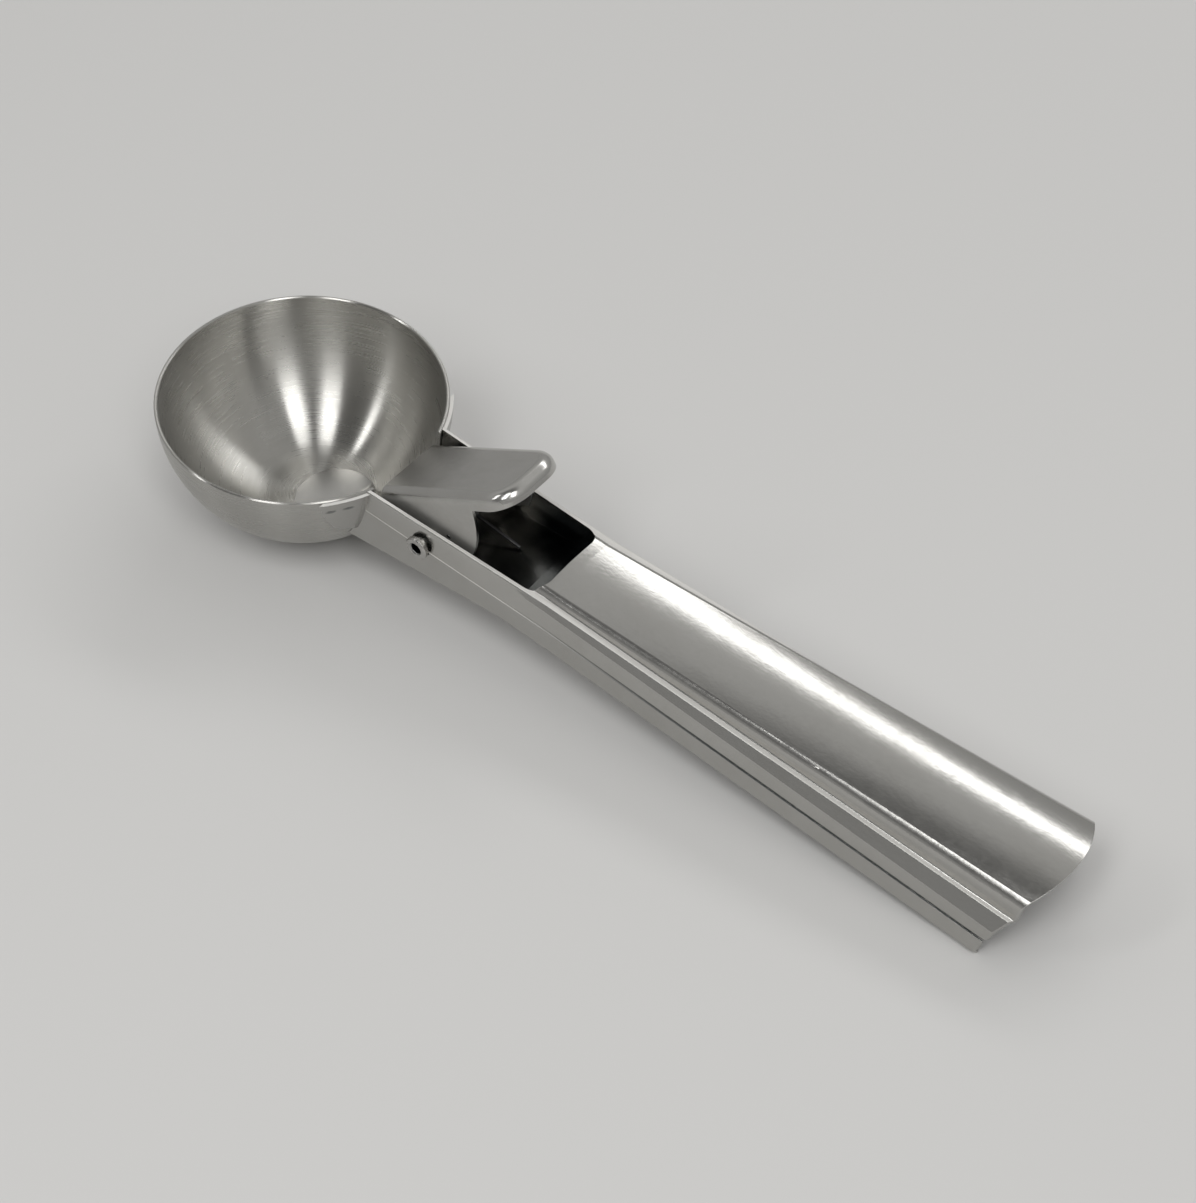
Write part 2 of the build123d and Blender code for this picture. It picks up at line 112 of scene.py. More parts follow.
BOWL_STEEL = SteelFinish(
    slot="bowl_steel",
    colour=(0.47, 0.463, 0.44, 1.0),
    soiled=(0.41, 0.402, 0.378, 1.0),
    roughness=0.28,
    roughness_swing=0.05,
    brushing=Brushing.AROUND,
    line_spacing=0.16 * MM,
    line_length=14.0 * MM,
    line_depth=0.0008 * MM,
    patch_size=9.0 * MM,
    anisotropy=1.0,
)
HANDLE_STEEL = SteelFinish(
    slot="handle_steel",
    colour=(0.47, 0.464, 0.445, 1.0),
    soiled=(0.42, 0.412, 0.39, 1.0),
    roughness=0.20,
    roughness_swing=0.05,
    brushing=Brushing.ALONG,
    line_spacing=0.6 * MM,
    line_length=0.8 * MM,
    line_depth=0.045 * MM,
    patch_size=14.0 * MM,
    # painted shade inside the handle's hollow
    painted_hollow_shade=0.9,
    hollow_line=(13.0 * MM, 0.075),
    hollow_start=-25.0 * MM,
    # ledges that face up are lightened: rubbed wear and a painted highlight
    rubbed_and_highlit_ledge=(8.5 * MM, 0.032),
    ledge_floor=(11.2 * MM, 0.0935),
    weld_marks=((-47.32 * MM, -16.89 * MM, 21.13 * MM), (-45.48 * MM, -14.18 * MM, 21.06 * MM)),
)
LEVER_STEEL = SteelFinish(
    slot="lever_steel",
    colour=(0.52, 0.514, 0.494, 1.0),
    soiled=(0.45, 0.442, 0.42, 1.0),
    roughness=0.20,
    roughness_swing=0.05,
    brushing=Brushing.ALONG,
    line_spacing=0.30 * MM,
    line_length=0.6 * MM,
    line_depth=0.0015 * MM,
    patch_size=8.0 * MM,
    # painted shade under the lever's pad
    painted_hollow_shade=0.7,
    hollow_line=(40.6 * MM, -0.5228),
    matte_sides=0.62,
)
RIVET_STEEL = SteelFinish(
    slot="rivet_steel",
    colour=(0.52, 0.512, 0.495, 1.0),
    soiled=(0.38, 0.368, 0.35, 1.0),
    roughness=0.22,
    roughness_swing=0.10,
    brushing=Brushing.ACROSS,
    line_spacing=0.10 * MM,
    line_length=0.8 * MM,
    line_depth=0.003 * MM,
    patch_size=1.2 * MM,
    # painted shade in the rivet's bore
    painted_hollow_shade=0.8,
)
SPRING_STEEL = SteelFinish(
    slot="spring_steel",
    colour=(0.11, 0.11, 0.115, 1.0),
    soiled=(0.08, 0.08, 0.08, 1.0),
    roughness=0.34,
    roughness_swing=0.08,
    brushing=Brushing.ACROSS,
    line_spacing=0.08 * MM,
    line_length=0.5 * MM,
    line_depth=0.002 * MM,
    patch_size=1.5 * MM,
)


class Wiring:
    """Adds nodes to one node tree and joins them."""

    def __init__(self, tree: bpy.types.NodeTree) -> None:
        """Keep the tree.

        Args:
            tree: the node tree to work in.
        """
        self.tree = tree

    def add(self, kind: str, **values: object) -> bpy.types.Node:
        """Add a node and set its properties.

        Args:
            kind: the node's type name.
            values: properties of the node to set.

        Returns:
            The new node.
        """
        node = self.tree.nodes.new(kind)
        for name, value in values.items():
            setattr(node, name, value)
        return node

    def feed(self, socket: Socket, source: object) -> None:
        """Join a socket to another one, or set its value.

        Args:
            socket: the input to feed.
            source: an output socket, or a plain value.
        """
        if isinstance(source, Socket):
            self.tree.links.new(source, socket)
        else:
            socket.default_value = source

    def fill(self, node: bpy.types.Node, sources: dict[str, object]) -> bpy.types.Node:
        """Feed several inputs of a node.

        Args:
            node: the node.
            sources: output sockets or plain values by the input's name.

        Returns:
            The same node.
        """
        for name, source in sources.items():
            self.feed(node.inputs[name], source)
        return node

    def group(self, tree: bpy.types.NodeTree, sources: dict[str, object]) -> bpy.types.NodeOutputs:
        """Use a shared node group.

        Args:
            tree: the group.
            sources: output sockets or plain values by the input's name.

        Returns:
            The group's outputs.
        """
        return self.fill(self.add("ShaderNodeGroup", node_tree=tree), sources).outputs

    def maths(self, operation: str, *sources: object) -> Socket:
        """Add a number sum.

        Args:
            operation: name of the sum.
            sources: sockets or numbers, in order.

        Returns:
            The result's socket.
        """
        node = self.add("ShaderNodeMath", operation=operation)
        for socket, source in zip(node.inputs, sources):
            self.feed(socket, source)
        return node.outputs["Value"]

    def vector(self, operation: str, *sources: object) -> bpy.types.NodeOutputs:
        """Add a vector sum.

        Args:
            operation: name of the sum.
            sources: sockets or vectors, in order.

        Returns:
            The outputs, since the result may be a vector or a number.
        """
        node = self.add("ShaderNodeVectorMath", operation=operation)
        for socket, source in zip(node.inputs, sources):
            self.feed(socket, source)
        return node.outputs

    def parts(self, source: Socket) -> bpy.types.NodeOutputs:
        """Split a vector.

        Args:
            source: the vector.

        Returns:
            The outputs X, Y and Z.
        """
        return self.fill(self.add("ShaderNodeSeparateXYZ"), {"Vector": source}).outputs

    def join(self, sources: dict[str, object]) -> Socket:
        """Make a vector of numbers.

        Args:
            sources: sockets or numbers by axis; an axis left out is zero.

        Returns:
            The vector's socket.
        """
        return self.fill(self.add("ShaderNodeCombineXYZ"), sources).outputs["Vector"]

    def remap(self, source: Socket, band: Pair) -> Socket:
        """Stretch a value smoothly to the range from 0 to 1.

        Args:
            source: the value.
            band: the bound that gives 0 and the bound that gives 1.

        Returns:
            The stretched value's socket.
        """
        low, high = band
        node = self.add("ShaderNodeMapRange", interpolation_type="SMOOTHSTEP")
        return self.fill(node, {"Value": source, "From Min": low, "From Max": high}).outputs["Result"]

    def noise(
        self, place: Socket, scale: float = 1.0, detail: float = 2.0, roughness: float = 0.5, distortion: float = 0.0
    ) -> Socket:
        """Add cloudy noise.

        Args:
            place: where the noise is read.
            scale: how fine it is.
            detail: how many finer layers it has.
            roughness: how strong the finer layers are.
            distortion: how far it is bent.

        Returns:
            The noise's socket, from 0 to 1.
        """
        node = self.add("ShaderNodeTexNoise", noise_dimensions="3D")
        values = {"Scale": scale, "Detail": detail, "Roughness": roughness, "Distortion": distortion}
        return self.fill(node, {"Vector": place, **values}).outputs["Fac"]

    def mix(self, share: Socket, first: object, second: object) -> Socket:
        """Mix two colours.

        Args:
            share: share of the second colour.
            first: socket or colour.
            second: socket or colour.

        Returns:
            The mixed colour's socket.
        """
        node = self.add("ShaderNodeMix", data_type="RGBA")
        return self.fill(node, {"Factor": share, "A": first, "B": second}).outputs["Result"]


class SharedEffects:
    """Shader node groups that the steels share, each built once.

    A band gives the value that counts as 0 and the value that counts as 1.

    Attributes:
        FINE_SHARE: share of the fine lines in the lines' height.
        BROAD_SHARE: share of the broad lines.
        BROAD_SCALE: size of the broad lines' place against the fine ones'.
        BROAD_SHIFT: move of the broad lines, so that the two don't coincide.
        TONE_BAND: heights between which the lines' tone changes.
        PATCH_BAND: noise between which a patch begins and is full.
        EDGE_SAMPLES: rays that look for an edge.
        EDGE_BAND: likeness of the softened normal to the plain one, from flat to edge.
        OPEN_SAMPLES: rays that look for a hollow.
        OPEN_BAND: open share of the surroundings, from open to hollow.
        FACING_BAND: how far a surface faces the hollow's line.
        START_BAND: distance behind the hollow's start.
        LEDGE_OUT_BAND: distance outside the ledges' half width.
        LEDGE_UP_BAND: how far a ledge faces up.
        SIDE_BAND: how far a face looks sideways.
        MARK_GRAIN: scale of the noise that makes a weld mark ragged.
        MARK_RAGGED: how much that noise moves the mark's edge.
        MARK_BAND: reach from outside to inside a weld mark, in half sizes.
    """

    FINE_SHARE = 0.55
    BROAD_SHARE = 0.45
    BROAD_SCALE = (0.31, 0.31, 0.31)
    BROAD_SHIFT = (17.0, 5.0, 11.0)
    TONE_BAND = (0.3, 0.7)
    PATCH_BAND = (0.38, 0.72)
    EDGE_SAMPLES = 6
    EDGE_BAND = (0.995, 0.85)
    OPEN_SAMPLES = 8
    OPEN_BAND = (0.95, 0.6)
    FACING_BAND = (0.05, 0.25)
    START_BAND = (0.0, 5.0 * MM)
    LEDGE_OUT_BAND = (0.0, 0.2 * MM)
    LEDGE_UP_BAND = (0.75, 0.95)
    SIDE_BAND = (0.75, 0.97)
    MARK_GRAIN = 1400.0
    MARK_RAGGED = 0.9
    MARK_BAND = (1.1, 0.5)

    def __init__(self) -> None:
        """Build the groups."""
        self.lines = self._brushed_lines()
        self.patches = self._handled_patches()
        self.edges = self._worn_and_highlit_edges()
        self.shaded_hollows = self._shaded_hollows()
        self.inside = self._inside()
        self.ledges = self._ledges()
        self.sides = self._sides()
        self.marks = self._weld_mark()

    @staticmethod
    def _group(
        name: str, vectors: tuple[str, ...], numbers: tuple[str, ...], outputs: dict[str, str]
    ) -> tuple[Wiring, bpy.types.NodeOutputs, bpy.types.NodeInputs]:
        """Make an empty group with named sockets.

        Args:
            name: the group's name.
            vectors: names of the inputs that are vectors.
            numbers: names of the inputs that are numbers.
            outputs: socket types by output name.

        Returns:
            The group's wiring, what comes into the group and what goes out of it.
        """
        group = bpy.data.node_groups.new(name, "ShaderNodeTree")
        for label in vectors:
            group.interface.new_socket(label, in_out="INPUT", socket_type="NodeSocketVector")
        for label in numbers:
            group.interface.new_socket(label, in_out="INPUT", socket_type="NodeSocketFloat")
        for label, kind in outputs.items():
            group.interface.new_socket(label, in_out="OUTPUT", socket_type=kind)
        wiring = Wiring(group)
        return wiring, wiring.add("NodeGroupInput").outputs, wiring.add("NodeGroupOutput").inputs

    def _brushed_lines(self) -> bpy.types.NodeTree:
        """Fine lines of a brushed surface.

        Returns:
            A group with a scaled place as input, and a height and a tone, each from 0 to 1, as outputs.
        """
        outputs = {"Height": "NodeSocketFloat", "Tone": "NodeSocketFloat"}
        wiring, given, result = self._group("brushed_lines", ("Place",), (), outputs)
        fine = wiring.noise(given["Place"], detail=2.0, roughness=0.6)
        shifted = wiring.vector("MULTIPLY_ADD", given["Place"], self.BROAD_SCALE, self.BROAD_SHIFT)["Vector"]
        broad = wiring.noise(shifted, detail=3.0, roughness=0.55)
        fine_height = wiring.maths("MULTIPLY", fine, self.FINE_SHARE)
        height = wiring.maths("MULTIPLY_ADD", broad, self.BROAD_SHARE, fine_height)
        wiring.feed(result["Height"], height)
        wiring.feed(result["Tone"], wiring.remap(height, self.TONE_BAND))
        return wiring.tree

    def _handled_patches(self) -> bpy.types.NodeTree:
        """Cloudy patches left by polishing and by fingers.

        Returns:
            A group with a scaled place as input and a mask as output.
        """
        wiring, given, result = self._group("handled_patches", ("Place",), (), {"Mask": "NodeSocketFloat"})
        cloud = wiring.noise(given["Place"], detail=5.0, roughness=0.6, distortion=0.4)
        wiring.feed(result["Mask"], wiring.remap(cloud, self.PATCH_BAND))
        return wiring.tree

    def _worn_and_highlit_edges(self) -> bpy.types.NodeTree:
        """Edges lightened in colour: partly rubbed bright by use, partly a painted highlight.

        Returns:
            A group with the edge's reach as input, and a mask and a softened normal as outputs.
        """
        outputs = {"Mask": "NodeSocketFloat", "Normal": "NodeSocketVector"}
        wiring, given, result = self._group("worn_and_highlit_edges", (), ("Reach",), outputs)
        # the bevel finds sharp edges, whose colour is lightened as worn metal and as a painted highlight
        bevel = wiring.add("ShaderNodeBevel", samples=self.EDGE_SAMPLES)
        soft = wiring.fill(bevel, {"Radius": given["Reach"]}).outputs["Normal"]
        plain = wiring.add("ShaderNodeNewGeometry").outputs["Normal"]
        likeness = wiring.vector("DOT_PRODUCT", soft, plain)["Value"]
        wiring.feed(result["Mask"], wiring.remap(likeness, self.EDGE_BAND))
        wiring.feed(result["Normal"], soft)
        return wiring.tree

    def _shaded_hollows(self) -> bpy.types.NodeTree:
        """Shade painted into the colour of hollow places, where the surroundings shelter a surface.

        Returns:
            A group with the hollow's reach as input and a mask as output.
        """
        wiring, given, result = self._group("shaded_hollows", (), ("Reach",), {"Mask": "NodeSocketFloat"})
        # where the surroundings are close, shade is painted into the colour
        shelter = wiring.add("ShaderNodeAmbientOcclusion", samples=self.OPEN_SAMPLES, only_local=True)
        open_share = wiring.fill(shelter, {"Distance": given["Reach"]}).outputs["AO"]
        wiring.feed(result["Mask"], wiring.remap(open_share, self.OPEN_BAND))
        return wiring.tree

    def _inside(self) -> bpy.types.NodeTree:
        """Surfaces that face a line along X, which are the inside of a hollow form.

        Returns:
            A group with a place, a normal, the line's height and fall and the hollow's start as inputs, and a mask
            as output.
        """
        wiring, given, result = self._group(
            "inside", ("Place", "Normal"), ("Height", "Fall", "Start"), {"Mask": "NodeSocketFloat"}
        )
        spot = wiring.parts(given["Place"])
        level = wiring.maths("SUBTRACT", given["Height"], wiring.maths("MULTIPLY", spot["X"], given["Fall"]))
        towards_y = wiring.maths("MULTIPLY", spot["Y"], -1.0)
        towards_z = wiring.maths("SUBTRACT", level, spot["Z"])
        inward = wiring.vector("NORMALIZE", wiring.join({"Y": towards_y, "Z": towards_z}))["Vector"]
        facing = wiring.vector("DOT_PRODUCT", inward, given["Normal"])["Value"]
        behind = wiring.remap(wiring.maths("SUBTRACT", spot["X"], given["Start"]), self.START_BAND)
        wiring.feed(result["Mask"], wiring.maths("MULTIPLY", wiring.remap(facing, self.FACING_BAND), behind))
        return wiring.tree

    def _ledges(self) -> bpy.types.NodeTree:
        """Narrow ledges and edges along the sides that face up, where the table and the hand rub, lightened in colour
        partly as wear and partly as a painted highlight.

        Returns:
            A group with a place, a normal, the half width with its growth and the least height with its fall as
            inputs, and a mask as output.
        """
        numbers = ("Half Width", "Growth", "Height", "Fall")
        wiring, given, result = self._group(
            "rubbed_and_highlit_ledges", ("Place", "Normal"), numbers, {"Mask": "NodeSocketFloat"}
        )
        spot = wiring.parts(given["Place"])
        limit = wiring.maths("MULTIPLY_ADD", spot["X"], given["Growth"], given["Half Width"])
        beyond = wiring.maths("SUBTRACT", wiring.maths("ABSOLUTE", spot["Y"]), limit)
        outer = wiring.remap(beyond, self.LEDGE_OUT_BAND)
        level = wiring.maths("SUBTRACT", given["Height"], wiring.maths("MULTIPLY", spot["X"], given["Fall"]))
        above = wiring.maths("GREATER_THAN", spot["Z"], level)
        facing_up = wiring.remap(wiring.parts(given["Normal"])["Z"], self.LEDGE_UP_BAND)
        wiring.feed(result["Mask"], wiring.maths("MULTIPLY", wiring.maths("MULTIPLY", outer, above), facing_up))
        return wiring.tree

    def _sides(self) -> bpy.types.NodeTree:
        """Faces that look sideways.

        Returns:
            A group with a normal as input and a mask as output.
        """
        wiring, given, result = self._group("side_faces", ("Normal",), (), {"Mask": "NodeSocketFloat"})
        sideways = wiring.maths("ABSOLUTE", wiring.parts(given["Normal"])["Y"])
        wiring.feed(result["Mask"], wiring.remap(sideways, self.SIDE_BAND))
        return wiring.tree

    def _weld_mark(self) -> bpy.types.NodeTree:
        """A small pressed mark that a spot weld leaves on both sides of the scoop.

        Returns:
            A group with a place and the mark's middle and half sizes as inputs, and a mask as output.
        """
        vectors = ("Place", "Middle", "Half Size")
        wiring, given, result = self._group("weld_mark", vectors, (), {"Mask": "NodeSocketFloat"})
        folded = wiring.vector("ABSOLUTE", given["Place"])["Vector"]
        middle = wiring.vector("ABSOLUTE", given["Middle"])["Vector"]
        arm = wiring.vector("SUBTRACT", folded, middle)["Vector"]
        reach = wiring.vector("LENGTH", wiring.vector("DIVIDE", arm, given["Half Size"])["Vector"])["Value"]
        grain = wiring.noise(given["Place"], scale=self.MARK_GRAIN)
        centred = wiring.maths("SUBTRACT", reach, self.MARK_RAGGED / 2)
        ragged = wiring.maths("MULTIPLY_ADD", grain, self.MARK_RAGGED, centred)
        wiring.feed(result["Mask"], wiring.remap(ragged, self.MARK_BAND))
        return wiring.tree


@dataclass(frozen=True)
class Masks:
    """Sockets that say where on a piece each effect shows; None where the finish doesn't have the effect.

    Attributes:
        tone: tone of the brushed lines.
        height: height of the brushed lines.
        patches: cloudy patches.
        edges: rubbed edges with a painted highlight.
        edge_normal: normal softened at the edges.
        ledges: rubbed ledges with a painted highlight.
        shaded_hollows: painted shade in the hollow places.
        sides: faces that look sideways.
        marks: weld marks.
    """

    tone: Socket
    height: Socket
    patches: Socket
    edges: Socket
    edge_normal: Socket
    ledges: Socket | None
    shaded_hollows: Socket | None
    sides: Socket | None
    marks: Socket | None


@dataclass
class SteelMaker:
    """Turns a finish into a material.

    Attributes:
        effects: the shared node groups.
        bowl_centre: middle of the bowl's sphere.
        line_soil: how far the lines' tone soils the colour.
        patch_soil: how far a patch soils the colour.
        worn_and_highlight_colour: light base colour of metal rubbed bright, which also paints a highlight on edges and
            ledges.
        edge_reach: how far a rubbed edge reaches.
        edge_wear_and_highlight: how far an edge takes the light colour, partly worn and partly a painted highlight.
        ledge_wear_and_highlight: how far a ledge that faces up takes the light colour, partly worn and partly a painted
            highlight.
        ledge_matte: roughness that rubbing adds to a ledge.
        hollow_reach: how far apart walls may stand and still shelter a hollow.
        shade_and_mark_colour: dark colour painted as shade into hollow places; the weld marks take it too.
        line_strength: strength of the lines' bump.
        mark_half: half sizes of a spot weld's mark.
        mark_depth: depth of a spot weld's mark.
        mark_stain: how far a spot weld's mark takes the hollow's colour.
    """

    effects: SharedEffects
    bowl_centre: Vector
    line_soil: float = 0.25
    patch_soil: float = 0.5
    # light colour of rubbed edges and ledges, partly wear and partly a painted highlight
    worn_and_highlight_colour: Colour = (0.86, 0.85, 0.83, 1.0)
    edge_reach: float = 0.08 * MM
    edge_wear_and_highlight: float = 0.8
    # partly wear, partly a painted highlight on ledges that face up
    ledge_wear_and_highlight: float = 0.85
    ledge_matte: float = 0.65
    hollow_reach: float = 16.0 * MM
    # painted shade: dark colour of hollow places, which the weld marks take too
    shade_and_mark_colour: Colour = (0.036, 0.048, 0.052, 1.0)
    line_strength: float = 0.5
    mark_half: Triple = (1.25 * MM, 1.1 * MM, 0.4 * MM)
    mark_depth: float = 0.08 * MM
    mark_stain: float = 0.55

    def make(self, finish: SteelFinish) -> bpy.types.Material:
        """Build the material of one finish.

        Args:
            finish: the finish to build.

        Returns:
            The new material.
        """
        material = bpy.data.materials.new("dressed_" + finish.slot)
        material.use_nodes = True
        material.node_tree.nodes.clear()
        wiring = Wiring(material.node_tree)
        spot = wiring.add("ShaderNodeTexCoord").outputs
        masks = self._masks(wiring, finish, spot["Object"], spot["Normal"])
        looks = {
            "Metallic": 1.0,
            "Base Color": self._colour(wiring, finish, masks),
            "Roughness": self._roughness(wiring, finish, masks),
            "Normal": self._normal(wiring, finish, masks),
        }
        if finish.brushing is Brushing.AROUND:
            looks["Anisotropic"] = finish.anisotropy
            looks["Tangent"] = self._spread(wiring, spot["Object"])
        surface = wiring.fill(wiring.add("ShaderNodeBsdfPrincipled"), looks)
        wiring.fill(wiring.add("ShaderNodeOutputMaterial"), {"Surface": surface.outputs["BSDF"]})
        return material

    def _masks(self, wiring: Wiring, finish: SteelFinish, place: Socket, facing: Socket) -> Masks:
        """Work out where each effect of a finish shows.

        Args:
            wiring: the material's wiring.
            finish: the finish.
            place: the place in the frame.
            facing: the normal in the frame.

        Returns:
            The masks.
        """
        lines = wiring.group(self.effects.lines, {"Place": self._line_place(wiring, finish, place)})
        share = 1.0 / finish.patch_size
        cloud = wiring.vector("MULTIPLY", place, (share, share, share))["Vector"]
        edges = wiring.group(self.effects.edges, {"Reach": self.edge_reach})
        sides = None
        if finish.matte_sides > 0:
            sides = wiring.group(self.effects.sides, {"Normal": facing})["Mask"]
        return Masks(
            tone=lines["Tone"],
            height=lines["Height"],
            patches=wiring.group(self.effects.patches, {"Place": cloud})["Mask"],
            edges=edges["Mask"],
            edge_normal=edges["Normal"],
            ledges=self._ledges(wiring, finish, place),
            shaded_hollows=self._shaded_hollows(wiring, finish, place, facing),
            sides=sides,
            marks=self._marks(wiring, finish, place),
        )

    def _colour(self, wiring: Wiring, finish: SteelFinish, masks: Masks) -> Socket:
        """Clean and soiled metal; edges and ledges lightened, partly by wear and partly as a painted highlight; hollow
        places darkened as painted shade; weld marks darkened; all where the masks say so.

        Args:
            wiring: the material's wiring.
            finish: the finish.
            masks: where each effect shows.

        Returns:
            The base colour.
        """
        patch_share = wiring.maths("MULTIPLY", masks.patches, self.patch_soil)
        soil = wiring.maths("MULTIPLY_ADD", masks.tone, self.line_soil, patch_share)
        colour = wiring.mix(soil, finish.colour, finish.soiled)
        # edges and ledges take a light colour, partly wear and partly a painted highlight; hollow places take painted
        # shade; weld marks take the same dark colour
        layers = (
            (masks.edges, self.edge_wear_and_highlight, self.worn_and_highlight_colour),
            (masks.ledges, self.ledge_wear_and_highlight, self.worn_and_highlight_colour),
            (masks.shaded_hollows, finish.painted_hollow_shade, self.shade_and_mark_colour),
            (masks.marks, self.mark_stain, self.shade_and_mark_colour),
        )
        for mask, share, paint in layers:
            if mask is not None:
                colour = wiring.mix(wiring.maths("MULTIPLY", mask, share), colour, paint)
        return colour

    def _roughness(self, wiring: Wiring, finish: SteelFinish, masks: Masks) -> Socket:
        """Roughness with its lines, patches, ledges and sides.

        Args:
            wiring: the material's wiring.
            finish: the finish.
            masks: where each effect shows.

        Returns:
            The roughness.
        """
        half_swing = finish.roughness_swing / 2
        smoothest = finish.roughness - half_swing
        roughness = wiring.maths("MULTIPLY_ADD", masks.tone, finish.roughness_swing, smoothest)
        layers = (
            (masks.patches, half_swing),
            (masks.ledges, self.ledge_matte),
            (masks.sides, finish.matte_sides - finish.roughness),
        )
        for mask, added in layers:
            if mask is not None:
                roughness = wiring.maths("MULTIPLY_ADD", mask, added, roughness)
        return roughness

    def _normal(self, wiring: Wiring, finish: SteelFinish, masks: Masks) -> Socket:
        """Normal softened at the edges, with the lines' bump and the weld marks pressed in.

        Args:
            wiring: the material's wiring.
            finish: the finish.
            masks: where each effect shows.

        Returns:
            The normal.
        """
        grain = {"Strength": self.line_strength, "Distance": finish.line_depth}
        bump = wiring.add("ShaderNodeBump")
        normal = wiring.fill(bump, {**grain, "Height": masks.height, "Normal": masks.edge_normal}).outputs["Normal"]
        if masks.marks is None:
            return normal
        pressed = wiring.add("ShaderNodeBump", invert=True)
        dents = {"Distance": self.mark_depth, "Height": masks.marks, "Normal": normal}
        return wiring.fill(pressed, dents).outputs["Normal"]

    def _marks(self, wiring: Wiring, finish: SteelFinish, place: Socket) -> Socket | None:
        """Mask of all weld marks of a finish.

        Args:
            wiring: the material's wiring.
            finish: the finish.
            place: the place in the frame.

        Returns:
            The mask, or None where the finish has no marks.
        """
        mask = None
        for middle in finish.weld_marks:
            sizes = {"Place": place, "Middle": middle, "Half Size": self.mark_half}
            one = wiring.group(self.effects.marks, sizes)["Mask"]
            mask = one if mask is None else wiring.maths("MAXIMUM", mask, one)
        return mask

    def _ledges(self, wiring: Wiring, finish: SteelFinish, place: Socket) -> Socket | None:
        """Mask of the ledges outside the hollow that are rubbed and get a painted highlight.

        Args:
            wiring: the material's wiring.
            finish: the finish.
            place: the place in the frame.

        Returns:
            The mask, or None where the finish has no such ledges.
        """
        if finish.rubbed_and_highlit_ledge is None:
            return None
        turned = wiring.add(
            "ShaderNodeVectorTransform", vector_type="NORMAL", convert_from="WORLD", convert_to="OBJECT"
        )
        true_normal = wiring.add("ShaderNodeNewGeometry").outputs["True Normal"]
        flat = wiring.fill(turned, {"Vector": true_normal}).outputs["Vector"]
        half_width, growth = finish.rubbed_and_highlit_ledge
        height, fall = finish.ledge_floor
        limits = {"Half Width": half_width, "Growth": growth, "Height": height, "Fall": fall}
        return wiring.group(self.effects.ledges, {"Place": place, "Normal": flat, **limits})["Mask"]

    def _shaded_hollows(self, wiring: Wiring, finish: SteelFinish, place: Socket, facing: Socket) -> Socket | None:
        """Mask of the hollow places that get painted shade.

        Args:
            wiring: the material's wiring.
            finish: the finish.
            place: the place in the frame.
            facing: the normal in the frame.

        Returns:
            The mask, or None where the finish has no dark hollows.
        """
        if finish.painted_hollow_shade <= 0:
            return None
        sheltered = wiring.group(self.effects.shaded_hollows, {"Reach": self.hollow_reach})["Mask"]
        if finish.hollow_line is None:
            return sheltered
        height, fall = finish.hollow_line
        line = {"Height": height, "Fall": fall, "Start": finish.hollow_start}
        inside = wiring.group(self.effects.inside, {"Place": place, "Normal": facing, **line})["Mask"]
        return wiring.maths("MULTIPLY", sheltered, inside)

    def _from_axis(self, wiring: Wiring, place: Socket) -> Socket:
        """Place counted from the bowl's middle.

        Args:
            wiring: the material's wiring.
            place: the place in the frame.

        Returns:
            The moved place.
        """
        return wiring.vector("SUBTRACT", place, self.bowl_centre)["Vector"]

    def _line_place(self, wiring: Wiring, finish: SteelFinish, place: Socket) -> Socket:
        """Place scaled so that noise becomes lines of the finish's spacing and length.

        Args:
            wiring: the material's wiring.
            finish: the finish.
            place: the place in the frame.

        Returns:
            The scaled place.
        """
        fast = 1.0 / finish.line_spacing
        slow = 1.0 / finish.line_length
        if finish.brushing is Brushing.ALONG:
            return wiring.vector("MULTIPLY", place, (slow, fast, fast))["Vector"]
        if finish.brushing is Brushing.ACROSS:
            return wiring.vector("MULTIPLY", place, (fast, slow, fast))["Vector"]
        arm = self._from_axis(wiring, place)
        level = wiring.vector("MULTIPLY", arm, (1.0, 1.0, 0.0))["Vector"]
        reach = wiring.vector("LENGTH", level)["Value"]
        depth = wiring.maths("MULTIPLY", wiring.parts(arm)["Z"], -1.0)
        angle = wiring.maths("ARCTAN2", reach, depth)
        # The height of the bowl's middle stands in for the radius that turns angles into lengths
        radius = self.bowl_centre.z
        direction = wiring.vector("NORMALIZE", level)["Vector"]
        ring = wiring.fill(
            wiring.add("ShaderNodeVectorMath", operation="SCALE"), {"Vector": direction, "Scale": radius * slow}
        )
        round_axis = wiring.parts(ring.outputs["Vector"])
        down_wall = wiring.maths("MULTIPLY", angle, radius * fast)
        return wiring.join({"X": round_axis["X"], "Y": round_axis["Y"], "Z": down_wall})

    def _spread(self, wiring: Wiring, place: Socket) -> Socket:
        """Direction across lines that run round the bowl's axis, in which they draw the reflection out.

        Args:
            wiring: the material's wiring.
            place: the place in the frame.

        Returns:
            The direction.
        """
        normal = wiring.add("ShaderNodeNewGeometry").outputs["Normal"]
        lines = wiring.vector("CROSS_PRODUCT", (0.0, 0.0, 1.0), self._from_axis(wiring, place))["Vector"]
        across = wiring.vector("CROSS_PRODUCT", normal, lines)["Vector"]
        return wiring.vector("NORMALIZE", across)["Vector"]


def put(name: str, data: bpy.types.ID) -> bpy.types.Object:
    """Make an object and link it into the scene.

    Args:
        name: the object's name.
        data: its mesh, light or camera.

    Returns:
        The object.
    """
    thing = bpy.data.objects.new(name, data)
    bpy.context.scene.collection.objects.link(thing)
    return thing


def dress(node: str, finish: SteelFinish, material: bpy.types.Material) -> None:
    """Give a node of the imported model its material.

    Args:
        node: the node's name.
        finish: the finish that the material was made from.
        material: the material.
    """
    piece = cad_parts[node]
    piece.data.materials.clear()
    piece.data.materials.append(material)
    LOG.info("%s is dressed in %s", node, finish.slot)


